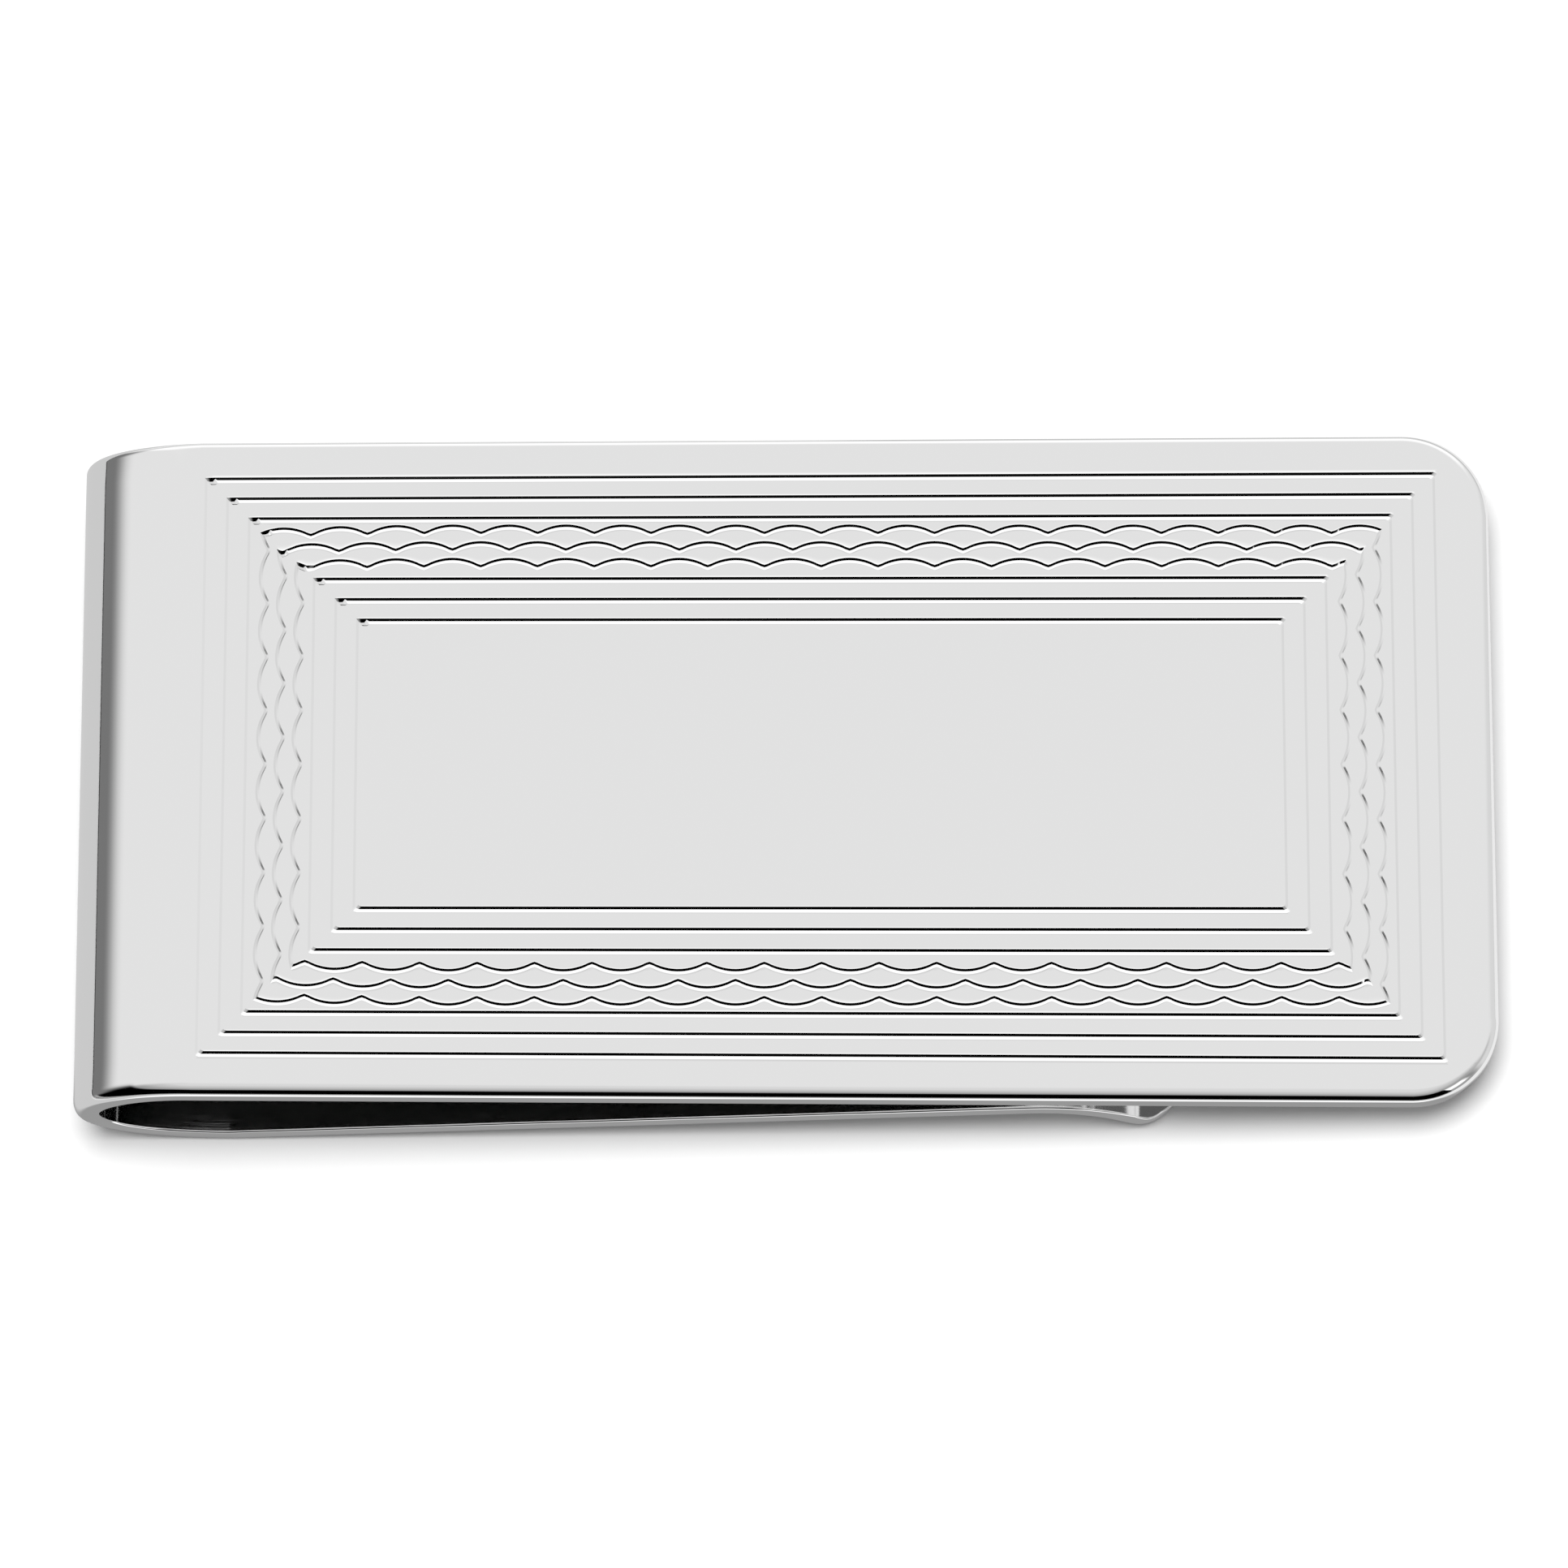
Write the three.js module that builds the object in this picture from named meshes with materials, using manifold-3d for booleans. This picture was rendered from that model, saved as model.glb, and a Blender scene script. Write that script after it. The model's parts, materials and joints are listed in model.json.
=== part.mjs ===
// A one-piece money clip: a single strip of polished metal folded into a U. The wide front plate lies on
// top, the bow folds round at -X, and the clamp leg runs back underneath, comes up to the plate along a
// ridge and ends in a short lip that is flared down, so that banknotes slide in.
//
// The strip is divided where it changes from stiff to springy. Each stretch of the bow turns a little about
// the outer edge that it shares with the next one, so the bow opens as the real spring does.
//
// Millimetres, +Z up. The clip rests on its bow and its lip, on the plane z = 0. X is its length, with the
// bow at -X. Y is its width, and the clip is alike on both sides of y = 0.

import * as THREE from 'three';
import { mergeVertices } from 'three/addons/utils/BufferGeometryUtils.js';
import Module from 'manifold-3d';

const wasm = await Module();
wasm.setup();

const { degToRad, lerp } = THREE.MathUtils;

// ---- Driving dimensions ----

const LENGTH = 50.8; // along the plate, bow included
const WIDTH = 25;
const SHEET = 0.95; // thickness of the strip
const BOW_REACH = 4.7; // from the end of the bow to where the plate becomes flat
const BOW_DEPTH = 6.35; // outside height of the bow
const LEG_RISE = degToRad(8.5); // slope of the leg towards the plate
const RIDGE_GAP = 0.1; // clearance between ridge and plate at rest
const RIDGE_RADIUS = 4; // outer radius of the ridge
const LIP_DIP = degToRad(-42); // steepest slope of the flare
const LIP_RADIUS = 2.6; // outer radius where the flare levels out again
const LIP_END = degToRad(-6); // slope of the lip's tip
const LIP_FLAT = 1; // straight length at the lip's tip
const PLATE_CORNER = 3.1; // radius of the plate's two free corners, seen from above
const LIP_CORNER = 2; // radius of the lip's two corners, seen from above

const STRETCHES = ['bow_shoulder', 'bow_upper', 'bow_nose', 'bow_lower', 'bow_heel'];
const STRETCH_STEPS = 6; // flats along each stretch of the bow
const ARC_STEPS = 10; // flats along the ridge, and along the flare
const CORNER_STEPS = 12; // flats round each corner

// ---- Side profile: stations along the outer face of the strip, in a frame where the plate is level ----

// A station is a point on the outer face, with the heading in which the strip runs on from there. The inner
// face is always to its left.
function innerPoint({ x, z, heading }) {
  return { x: x - SHEET * Math.sin(heading), z: z + SHEET * Math.cos(heading) };
}

// The station a straight distance further on.
function straightFrom({ x, z, heading }, distance) {
  return { x: x + distance * Math.cos(heading), z: z + distance * Math.sin(heading), heading };
}

// Stations round an arc from a station to a heading. The centre is to the left for a positive radius.
function arcFrom(start, heading, radius) {
  const centreX = start.x - radius * Math.sin(start.heading);
  const centreZ = start.z + radius * Math.cos(start.heading);
  return Array.from({ length: ARC_STEPS + 1 }, (_, i) => {
    const turned = lerp(start.heading, heading, i / ARC_STEPS);
    const x = centreX + radius * Math.sin(turned);
    const z = centreZ - radius * Math.cos(turned);
    return { x, z, heading: turned };
  });
}

// Stations round the bow, evenly spaced along its outer face: half an ellipse from the end of the plate,
// and on until it has the slope of the leg.
function bowStations() {
  const half = BOW_DEPTH / 2;
  const overrun = Math.atan(Math.tan(LEG_RISE) * BOW_REACH / half);
  const end = 1.5 * Math.PI + overrun;
  const outline = new THREE.EllipseCurve(BOW_REACH, -half, BOW_REACH, half, Math.PI / 2, end);
  outline.arcLengthDivisions = 2000;
  const flats = STRETCHES.length * STRETCH_STEPS;
  return Array.from({ length: flats + 1 }, (_, i) => {
    const { x, y: z } = outline.getPointAt(i / flats);
    const outwardX = (x - BOW_REACH) / BOW_REACH ** 2;
    const outwardZ = (z + half) / half ** 2;
    return { x, z, heading: Math.atan2(outwardX, -outwardZ) };
  });
}

const bow = bowStations();
const tail = { x: LENGTH, z: 0, heading: Math.PI };
const heel = bow.at(-1);
const ridgeTop = -SHEET - RIDGE_GAP - SHEET; // outer face of the strip at the top of the ridge
const ridgeRound = RIDGE_RADIUS * (1 - Math.cos(LEG_RISE));
const legRun = (ridgeTop - ridgeRound - heel.z) / Math.sin(LEG_RISE);
const legEnd = straightFrom(heel, legRun);
const ridge = arcFrom(legEnd, LIP_DIP, -RIDGE_RADIUS);
const flare = arcFrom(ridge.at(-1), LIP_END, LIP_RADIUS);
const tip = straightFrom(flare.at(-1), LIP_FLAT);

// The stations of each sub-part, in order along the strip.
const spans = {
  front_plate: [tail, bow[0]],
  ...Object.fromEntries(STRETCHES.map((name, i) => {
    const first = i * STRETCH_STEPS;
    return [name, bow.slice(first, first + STRETCH_STEPS + 1)];
  })),
  clamp_leg: [heel, legEnd],
  grip_ridge: ridge,
  lead_in_lip: [...flare, tip],
};

// ---- Resting pose: the clip is tipped until its bow and its lip both touch the plane that it lies on ----

// How far a point lies above a plane that slopes up towards +X by the given angle.
function heightOver(slope, { x, z }) {
  return z * Math.cos(slope) - x * Math.sin(slope);
}

// The lowest of some stations over such a plane.
function lowest(slope, stations) {
  return stations.reduce((a, b) => (heightOver(slope, b) < heightOver(slope, a) ? b : a));
}

// The slope of the plane that touches the bow and the lip, found by resting on one pair after another.
function restSlope() {
  let slope = 0;
  for (let round = 0; round < 8; round += 1) {
    const under = lowest(slope, bow);
    const lip = lowest(slope, spans.lead_in_lip);
    slope = Math.atan2(lip.z - under.z, lip.x - under.x);
  }
  return slope;
}

const slope = restSlope();
const outline = Object.values(spans).flat();
const ground = heightOver(slope, lowest(slope, outline));

// A point of the level frame turned into the resting pose, before it is centred.
function rested({ x, z }) {
  return {
    x: x * Math.cos(slope) + z * Math.sin(slope),
    z: heightOver(slope, { x, z }) - ground,
  };
}

const reachesX = outline.map((point) => rested(point).x);
const middleX = (Math.min(...reachesX) + Math.max(...reachesX)) / 2;

// A point of the level frame as a point of the finished part's side view.
function placed(point) {
  const { x, z } = rested(point);
  return new THREE.Vector2(x - middleX, z);
}

// ---- Solids ----

// A slice of the strip: its side view, extruded across the width.
function stripGeometry(stations) {
  const outer = stations.map(placed);
  const inner = stations.map((point) => placed(innerPoint(point)));
  const side = new THREE.Shape([...outer, ...inner.reverse()]);
  const geometry = new THREE.ExtrudeGeometry(side, { depth: WIDTH, bevelEnabled: false });
  return geometry.rotateX(Math.PI / 2).translate(0, WIDTH / 2, 0);
}

// A tall prism over the strip's outline seen from above, with two rounded corners at its +X end.
function cornerPrism(endX, radius) {
  const half = WIDTH / 2;
  const plan = new THREE.Shape();
  plan.moveTo(endX - LENGTH, -half);
  plan.lineTo(endX - radius, -half);
  plan.absarc(endX - radius, radius - half, radius, -Math.PI / 2, 0);
  plan.absarc(endX - radius, half - radius, radius, 0, Math.PI / 2);
  plan.lineTo(endX - LENGTH, half);
  const prism = { depth: 4 * BOW_DEPTH, bevelEnabled: false, curveSegments: CORNER_STEPS };
  return new THREE.ExtrudeGeometry(plan, prism).translate(0, 0, -BOW_DEPTH);
}

// A closed geometry as a solid that can be cut.
function solidOf(geometry) {
  const bare = geometry.clone().deleteAttribute('normal').deleteAttribute('uv');
  const merged = mergeVertices(bare);
  const vertProperties = new Float32Array(merged.attributes.position.array);
  const triVerts = new Uint32Array(merged.index.array);
  return new wasm.Manifold(new wasm.Mesh({ numProp: 3, vertProperties, triVerts }));
}

// A geometry with its +X corners rounded off.
function roundCorners(geometry, radius) {
  geometry.computeBoundingBox();
  const prism = cornerPrism(geometry.boundingBox.max.x, radius);
  const { vertProperties, triVerts } = solidOf(geometry).intersect(solidOf(prism)).getMesh();
  const cut = new THREE.BufferGeometry();
  cut.setAttribute('position', new THREE.BufferAttribute(vertProperties, 3));
  cut.setIndex(new THREE.BufferAttribute(triVerts, 1));
  cut.computeVertexNormals();
  return cut;
}

const corners = { front_plate: PLATE_CORNER, lead_in_lip: LIP_CORNER };

// One named sub-part of the strip, in its own bright metal.
function subPart(name, stations) {
  const blank = stripGeometry(stations);
  const geometry = name in corners ? roundCorners(blank, corners[name]) : blank;
  const metal = new THREE.MeshStandardMaterial({ color: 0xdcdee0, roughness: 0.06, metalness: 1 });
  const mesh = new THREE.Mesh(geometry, metal);
  mesh.name = name;
  return mesh;
}

const moneyClip = new THREE.Group();
for (const [name, stations] of Object.entries(spans)) {
  moneyClip.add(subPart(name, stations));
}

export default moneyClip;
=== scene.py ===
"""A one-piece money clip: an engraved front plate, a springy bow and a clamp leg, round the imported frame.

The clip is made as the real one is. A flat blank of sheet metal is cut out, its corners and rim are rounded,
the frames are engraved in it, and then it is folded along one path. Lengths are in metres.
"""

import json
import logging
import math
from dataclasses import dataclass, field
from enum import Enum, IntEnum

import bpy
import numpy as np
from mathutils import Matrix, Vector


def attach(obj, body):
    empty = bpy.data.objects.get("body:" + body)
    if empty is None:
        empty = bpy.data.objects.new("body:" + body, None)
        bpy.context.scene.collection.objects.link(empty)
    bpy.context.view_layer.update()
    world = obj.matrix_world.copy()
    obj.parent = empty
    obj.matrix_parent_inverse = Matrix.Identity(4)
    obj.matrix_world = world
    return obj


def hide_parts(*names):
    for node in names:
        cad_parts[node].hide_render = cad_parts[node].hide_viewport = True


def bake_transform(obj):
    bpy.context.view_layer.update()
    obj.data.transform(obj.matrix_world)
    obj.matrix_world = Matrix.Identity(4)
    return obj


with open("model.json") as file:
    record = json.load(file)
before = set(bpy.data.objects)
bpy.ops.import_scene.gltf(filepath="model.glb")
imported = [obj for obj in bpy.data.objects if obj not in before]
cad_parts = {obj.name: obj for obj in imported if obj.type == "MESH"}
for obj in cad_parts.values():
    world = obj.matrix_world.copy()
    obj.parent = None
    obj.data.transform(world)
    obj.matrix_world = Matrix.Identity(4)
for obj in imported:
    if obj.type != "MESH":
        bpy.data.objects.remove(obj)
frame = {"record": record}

log = logging.getLogger("money_clip")
Array = np.ndarray
Socket = bpy.types.NodeSocket
Spot = tuple[float, float, float]
Edges = tuple[float, float, float, float]
Colour = tuple[float, float, float, float]

MM = 0.001
HAIR = MM / 10000  # nearer than this, two places are one
FLUSH = MM / 100  # nearer than this, a face lies in the strip's top or underside
FULL_TURN = 360.0  # degrees
BOW_STRETCHES = 5
PLATE_MARGIN = 0.1 * MM  # between the engraved field and the plate's end at the bow


# ---- Helpers -------------------------------------------------------------------------------------------


def smoothstep(low: float, high: float, value: Array) -> Array:
    """Blend from 0 at low to 1 at high.

    Args:
        low: where the result leaves 0.
        high: where the result reaches 1.
        value: the places to evaluate.

    Returns:
        The smooth share at each place.
    """
    t = np.clip((value - low) / (high - low), 0.0, 1.0)
    return t * t * (3.0 - 2.0 * t)


def deselect_all() -> None:
    """Leave object mode with nothing selected."""
    if bpy.context.object is not None and bpy.context.object.mode != "OBJECT":
        bpy.ops.object.mode_set(mode="OBJECT")
    for thing in bpy.context.selected_objects:
        thing.select_set(False)


def make_active(piece: bpy.types.Object) -> None:
    """Select one object alone and make it the active one.

    Args:
        piece: the object.
    """
    deselect_all()
    piece.select_set(True)
    bpy.context.view_layer.objects.active = piece


def apply_modifier(piece: bpy.types.Object, kind: str, **settings: object) -> None:
    """Add a modifier, set it up and apply it.

    Args:
        piece: the mesh object.
        kind: the modifier's type.
        **settings: its properties by name.
    """
    make_active(piece)
    modifier = piece.modifiers.new(kind.title(), kind)
    for name, value in settings.items():
        setattr(modifier, name, value)
    bpy.ops.object.modifier_apply(modifier=modifier.name)


def bisect(piece: bpy.types.Object, point: Spot, normal: Spot) -> None:
    """Cut edges into a whole mesh along a plane, and keep both sides.

    Args:
        piece: the mesh object.
        point: a point of the plane.
        normal: the plane's normal.
    """
    make_active(piece)
    bpy.ops.object.mode_set(mode="EDIT")
    bpy.ops.mesh.select_all(action="SELECT")
    bpy.ops.mesh.bisect(plane_co=point, plane_no=normal, threshold=HAIR)
    bpy.ops.object.mode_set(mode="OBJECT")


# ---- The strip's path ----------------------------------------------------------------------------------


@dataclass(frozen=True)
class StripPath:
    """The side view of the folded strip's outer face, followed from the plate's free end to the lip's tip.

    It is laid out level, with x from the end of the bow and z up from the plate's top, and then placed where
    the frame's front panel mount is.
    """

    length: float = 50.8 * MM
    width: float = 25.0 * MM
    sheet: float = 0.95 * MM
    bow_reach: float = 4.7 * MM
    bow_depth: float = 6.35 * MM
    leg_rise: float = math.radians(8.5)
    ridge_gap: float = 0.1 * MM
    ridge_radius: float = 4.0 * MM
    lip_dip: float = math.radians(-42.0)
    lip_radius: float = 2.6 * MM
    lip_end: float = math.radians(-6.0)
    lip_flat: float = 1.0 * MM
    table_steps: int = 4000

    @property
    def bow_half(self) -> float:
        """Half the bow's depth."""
        return self.bow_depth / 2

    @property
    def plate_run(self) -> float:
        """Length of the flat plate."""
        return self.length - self.bow_reach

    def bow_table(self) -> tuple[Array, Array]:
        """Tabulate the half ellipse of the bow.

        Returns:
            The ellipse's angles, and the distance along the outer face to each.
        """
        overrun = math.atan(math.tan(self.leg_rise) * self.bow_reach / self.bow_half)
        angle = np.linspace(math.pi / 2, 1.5 * math.pi + overrun, self.table_steps)
        x, z = self.bow_reach * np.cos(angle), self.bow_half * np.sin(angle)
        run = np.concatenate([[0.0], np.cumsum(np.hypot(np.diff(x), np.diff(z)))])
        return angle, run

    @property
    def bow_run(self) -> float:
        """Length of the bow along its outer face."""
        return float(self.bow_table()[1][-1])

    def heel(self) -> tuple[float, float]:
        """Where the bow ends and the leg starts, as x and z of the outer face."""
        angle = self.bow_table()[0][-1]
        return self.bow_reach * (1 + math.cos(angle)), self.bow_half * (math.sin(angle) - 1)

    @property
    def leg_run(self) -> float:
        """Length of the straight leg, so that its ridge stops just short of the plate."""
        top = -2 * self.sheet - self.ridge_gap
        rounded = self.ridge_radius * (1 - math.cos(self.leg_rise))
        return (top - rounded - self.heel()[1]) / math.sin(self.leg_rise)

    @property
    def ridge_run(self) -> float:
        """Length of the ridge along its outer face."""
        return self.ridge_radius * (self.leg_rise - self.lip_dip)

    @property
    def flare_run(self) -> float:
        """Length of the flare along its outer face."""
        return self.lip_radius * (self.lip_end - self.lip_dip)

    def joins(self) -> list[float]:
        """Distances along the strip at which its stretches start and end.

        Returns:
            The plate's free end, both ends of the bow, both ends of the ridge, the end of the flare, the tip.
        """
        runs = [self.plate_run, self.bow_run, self.leg_run, self.ridge_run, self.flare_run, self.lip_flat]
        return [0.0, *np.cumsum(runs)]

    def follow(self, run: Array) -> tuple[Array, Array, Array]:
        """Find the outer face at distances along the strip.

        Args:
            run: distances from the plate's free end.

        Returns:
            x and z in the level layout, and the heading in which the strip runs on.
        """
        _, bow, leg, ridge, flare, last, _ = self.joins()
        angle_of, run_of = self.bow_table()
        x, z, heading = self.length - run, np.zeros_like(run), np.full_like(run, math.pi)

        here = (run > bow) & (run <= leg)
        angle = np.interp(run[here] - bow, run_of, angle_of)
        x[here] = self.bow_reach * (1 + np.cos(angle))
        z[here] = self.bow_half * (np.sin(angle) - 1)
        heading[here] = np.arctan2(np.cos(angle) / self.bow_reach, -np.sin(angle) / self.bow_half)

        at, slope = self.heel(), self.leg_rise
        here = (run > leg) & (run <= ridge)
        x[here] = at[0] + (run[here] - leg) * math.cos(slope)
        z[here] = at[1] + (run[here] - leg) * math.sin(slope)
        heading[here] = slope
        at = (at[0] + (ridge - leg) * math.cos(slope), at[1] + (ridge - leg) * math.sin(slope))

        for start, end, radius in ((ridge, flare, -self.ridge_radius), (flare, last, self.lip_radius)):
            centre = (at[0] - radius * math.sin(slope), at[1] + radius * math.cos(slope))
            here = (run > start) & (run <= end)
            turned = slope + (run[here] - start) / radius
            x[here] = centre[0] + radius * np.sin(turned)
            z[here] = centre[1] - radius * np.cos(turned)
            heading[here] = turned
            slope += (end - start) / radius
            at = (centre[0] + radius * math.sin(slope), centre[1] - radius * math.cos(slope))

        here = run > last
        x[here] = at[0] + (run[here] - last) * math.cos(slope)
        z[here] = at[1] + (run[here] - last) * math.sin(slope)
        heading[here] = slope
        return x, z, heading

    def rest(self) -> Matrix:
        """Find how the level layout lies in the frame.

        Returns:
            The matrix that carries the middle of the plate's top to the front panel mount.
        """
        mount = next(m for m in frame["record"]["mounts"] if m["name"] == "front_panel")
        tilt = math.atan2(mount["axis"][0], mount["axis"][2])
        middle = Vector((self.length - self.plate_run / 2, 0.0, 0.0))
        turn = Matrix.Rotation(tilt, 4, "Y")
        return Matrix.Translation(mount["pos_m"]) @ turn @ Matrix.Translation(-middle)


# ---- The engraving -------------------------------------------------------------------------------------


class Line(Enum):
    """How an engraved frame's line runs, and for a waved one what lies at the middle of each side."""

    STRAIGHT = "straight"
    CUSP = "waved, with a cusp in the middle"
    CREST = "waved, with a crest in the middle"


class Side(IntEnum):
    """The four sides of an engraved frame, anticlockwise seen from above."""

    FRONT = 0
    FREE_END = 1
    BACK = 2
    BOW = 3


class Row(IntEnum):
    """The lines of points along a cut, from its outer side to its inner one."""

    OUTER_FOOT = 0
    OUTER_BURR = 1
    BOTTOM = 2
    INNER_BURR = 3
    INNER_FOOT = 4


@dataclass(frozen=True)
class Engraving:
    """Nested frames cut in the plate with a pointed graver: straight ones, and waved ones between them."""

    from_bow: float = 4.59 * MM
    from_end: float = 1.91 * MM
    from_side: float = 1.56 * MM
    off_centre: float = -0.03 * MM
    pitch: float = 0.79 * MM
    frames: tuple[tuple[float, Line], ...] = (
        (0.0, Line.STRAIGHT),
        (1.0, Line.STRAIGHT),
        (2.0, Line.STRAIGHT),
        (2.7, Line.CUSP),
        (3.5, Line.CREST),
        (4.3, Line.CUSP),
        (5.0, Line.STRAIGHT),
        (6.0, Line.STRAIGHT),
        (7.0, Line.STRAIGHT),
    )
    wave_length: float = 2.043 * MM
    wave_height: float = 0.3 * MM
    wave_steps: int = 16
    wave_soft: float = 0.03 * MM  # how far a cusp is filled in
    depth: float = 0.033 * MM
    back_wall: tuple[float, float] = (0.091 * MM, 0.024 * MM)  # width, and height of its burr
    back_burr: float = 0.08 * MM
    front_wall: tuple[float, float] = (0.13 * MM, 0.018 * MM)
    front_burr: float = 0.055 * MM
    side_wall: tuple[float, float] = (0.09 * MM, 0.005 * MM)
    side_burr: float = 0.06 * MM
    waved_side_wall: tuple[float, float] = (0.08 * MM, 0.012 * MM)
    waved_share: float = 0.9  # width of a waved cut against a straight one
    corner_round: float = 0.14 * MM
    # Where the graver went in: distance from the corner, shift and drop of the cut's bottom, and shift of
    # its inner burr.
    pit: tuple[tuple[float, float, float, float], ...] = (
        (0.36 * MM, 0.0, 0.0, 0.0),
        (0.28 * MM, 0.05 * MM, 0.022 * MM, 0.0),
        (0.2 * MM, -0.04 * MM, -0.03 * MM, -0.04 * MM),
        (0.09 * MM, -0.045 * MM, -0.03 * MM, -0.04 * MM),
        (0.0, -0.02 * MM, -0.005 * MM, -0.02 * MM),
    )
    border: float = 0.24 * MM  # plain metal round the outermost cut
    crossing_rounds: int = 60  # of the search for where two waved lines meet

    def section(self, line: Line, side: Side) -> list[tuple[float, float]]:
        """Lay out the cut on one side of a frame, from its outer to its inner row.

        Args:
            line: how the frame's line runs.
            side: which side of the frame.

        Returns:
            How far inwards each row lies from the bottom of the cut, and its height.
        """
        wall = self.side_wall if line is Line.STRAIGHT else self.waved_side_wall
        size = 1.0 if line is Line.STRAIGHT else self.waved_share
        behind = [(self.back_wall[0] + self.back_burr, 0.0), self.back_wall]
        ahead = [(self.front_wall[0] + self.front_burr, 0.0), self.front_wall]
        beside = [(wall[0] + self.side_burr, 0.0), wall]
        outer, inner = {Side.FRONT: (ahead, behind), Side.BACK: (behind, ahead)}.get(side, (beside, beside))
        rows = [(-at, height) for at, height in outer] + [(0.0, -self.depth)] + inner[::-1]
        return [(at * size, height * size) for at, height in rows]

    def wave(self, line: Line, along: Array) -> Array:
        """Find how far a line bulges outwards.

        Args:
            line: how the frame's line runs.
            along: distances from the middle of a side.

        Returns:
            The bulge at each distance.
        """
        if line is Line.STRAIGHT:
            return np.zeros_like(along)
        crest = 0.0 if line is Line.CREST else self.wave_length / 2
        half = self.wave_length / 2
        off = np.abs(np.mod(along - crest + half, self.wave_length) - half)
        radius = (half * half + self.wave_height**2) / (2 * self.wave_height)
        arc = np.sqrt(radius * radius - off * off)
        next_arc = np.sqrt(np.maximum(radius * radius - (self.wave_length - off) ** 2, 0.0))
        fill = np.clip(1.0 - (arc - next_arc) / (4 * self.wave_soft), 0.0, 1.0) ** 2 * self.wave_soft
        return arc + fill - radius + self.wave_height / 2

    def crossing(self, line: Line, ending: float, starting: float) -> tuple[float, float]:
        """Find where one side's line runs into the next side's line.

        Args:
            line: how the frame's line runs.
            ending: how far from the middle of the frames the side lies.
            starting: how far from it the next side lies.

        Returns:
            The distance along the side, and along the next one, each from its own middle.
        """
        here, there = starting, -ending
        for _ in range(self.crossing_rounds):
            here = starting + float(self.wave(line, np.array(there)))
            there = -ending - float(self.wave(line, np.array(here)))
        return here, there

    def outs(self, line: Line, inset: float, row: Row, half: Vector) -> list[float]:
        """How far from the middle of the frames a row of a cut lies, on each of the four sides."""
        reach = (half.y, half.x, half.y, half.x)
        return [reach[side] - inset - self.section(line, side)[row][0] for side in Side]

    @staticmethod
    def ends(line: Line) -> int:
        """How many points a side has between a corner and its nearest station."""
        return 1 if line is Line.STRAIGHT else 2

    def loop(self, line: Line, inset: float, row: Row, steps: list[Array], half: Vector) -> list[Vector]:
        """Lay out one closed row of points, anticlockwise from the corner nearest the bow in front.

        Args:
            line: how the frame's line runs.
            inset: how far inside the outermost frame it lies.
            row: which row of the cut.
            steps: distances along each of the four sides at which a waved line has points.
            half: half the outermost frame's length and width.

        Returns:
            The points, about the middle of the frames.
        """
        outs = self.outs(line, inset, row, half)
        heights = [self.section(line, side)[row][1] for side in Side]
        curve = self.corner_round
        thirds = np.array([1, 2]) / 3
        cut_in = 1 - math.sqrt(0.5)  # how far a round of radius 1 stays short of its corner, along each side
        points = []
        for side in Side:
            start = self.crossing(line, outs[side - 1], outs[side])[1]
            end = self.crossing(line, outs[side], outs[(side + 1) % len(Side)])[0]
            along = np.array([start + curve, end - curve])
            if line is not Line.STRAIGHT:
                first, last = steps[side][0], steps[side][-1]
                lead, trail = start + thirds * (first - start), last + thirds * (end - last)
                along = np.concatenate([lead, steps[side], trail])
            if side is Side.BACK:
                marks = [end - mark[0] for mark in self.pit[:-1]]
                along = np.concatenate([along[: -self.ends(line)], marks])
            out = outs[side] + self.wave(line, along)
            turn = Matrix.Rotation(side * math.pi / 2, 3, "Z")
            height = (heights[side] + heights[side - 1]) / 2
            corner = Vector((start, -outs[side] - float(self.wave(line, np.array(start))), height))
            if line is Line.STRAIGHT and side is not Side.BOW:
                corner += Vector((curve, curve, 0.0)) * cut_in
            points.append(turn @ corner)
            points += [turn @ Vector((a, -o, heights[side])) for a, o in zip(along, out)]
            if side is Side.BOW:
                self.sink_pit(points[: -len(along)], row)
        return points

    def sink_pit(self, points: list[Vector], row: Row) -> None:
        """Shift and lower one row's last points, up to the corner where the graver went in.

        Args:
            points: the row's points as far as that corner.
            row: which row of the cut.
        """
        for point, (_, shift, drop, burr_shift) in zip(points[-len(self.pit) :], self.pit):
            point.y += {Row.BOTTOM: shift, Row.INNER_BURR: burr_shift}.get(row, 0.0)
            point.z += drop if row is Row.BOTTOM else 0.0

    def steps(self, line: Line, inset: float, half: Vector) -> list[Array]:
        """Choose the points along each side of a frame, the same for every row of its cut.

        Args:
            line: how the frame's line runs.
            inset: how far inside the outermost frame it lies.
            half: half the outermost frame's length and width.

        Returns:
            Distances from the middle of each of the four sides, none for a straight line.
        """
        if line is Line.STRAIGHT:
            return [np.zeros(0)] * len(Side)
        step = self.wave_length / self.wave_steps
        clear = step / 4  # of the corner
        limits = [math.inf] * len(Side)
        for row in Row:
            outs = self.outs(line, inset, row, half)
            for side in Side:
                following = (side + 1) % len(Side)
                here, there = self.crossing(line, outs[side], outs[following])
                limits[side] = min(limits[side], here)
                limits[following] = min(limits[following], -there)
        counts = [int((limit - clear) / step) for limit in limits]
        stations = [np.arange(-count, count + 1) * step for count in counts]
        back = stations[Side.BACK]
        stations[Side.BACK] = back[back < limits[Side.BACK] - self.pit[0][0] - clear]
        return stations

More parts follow.
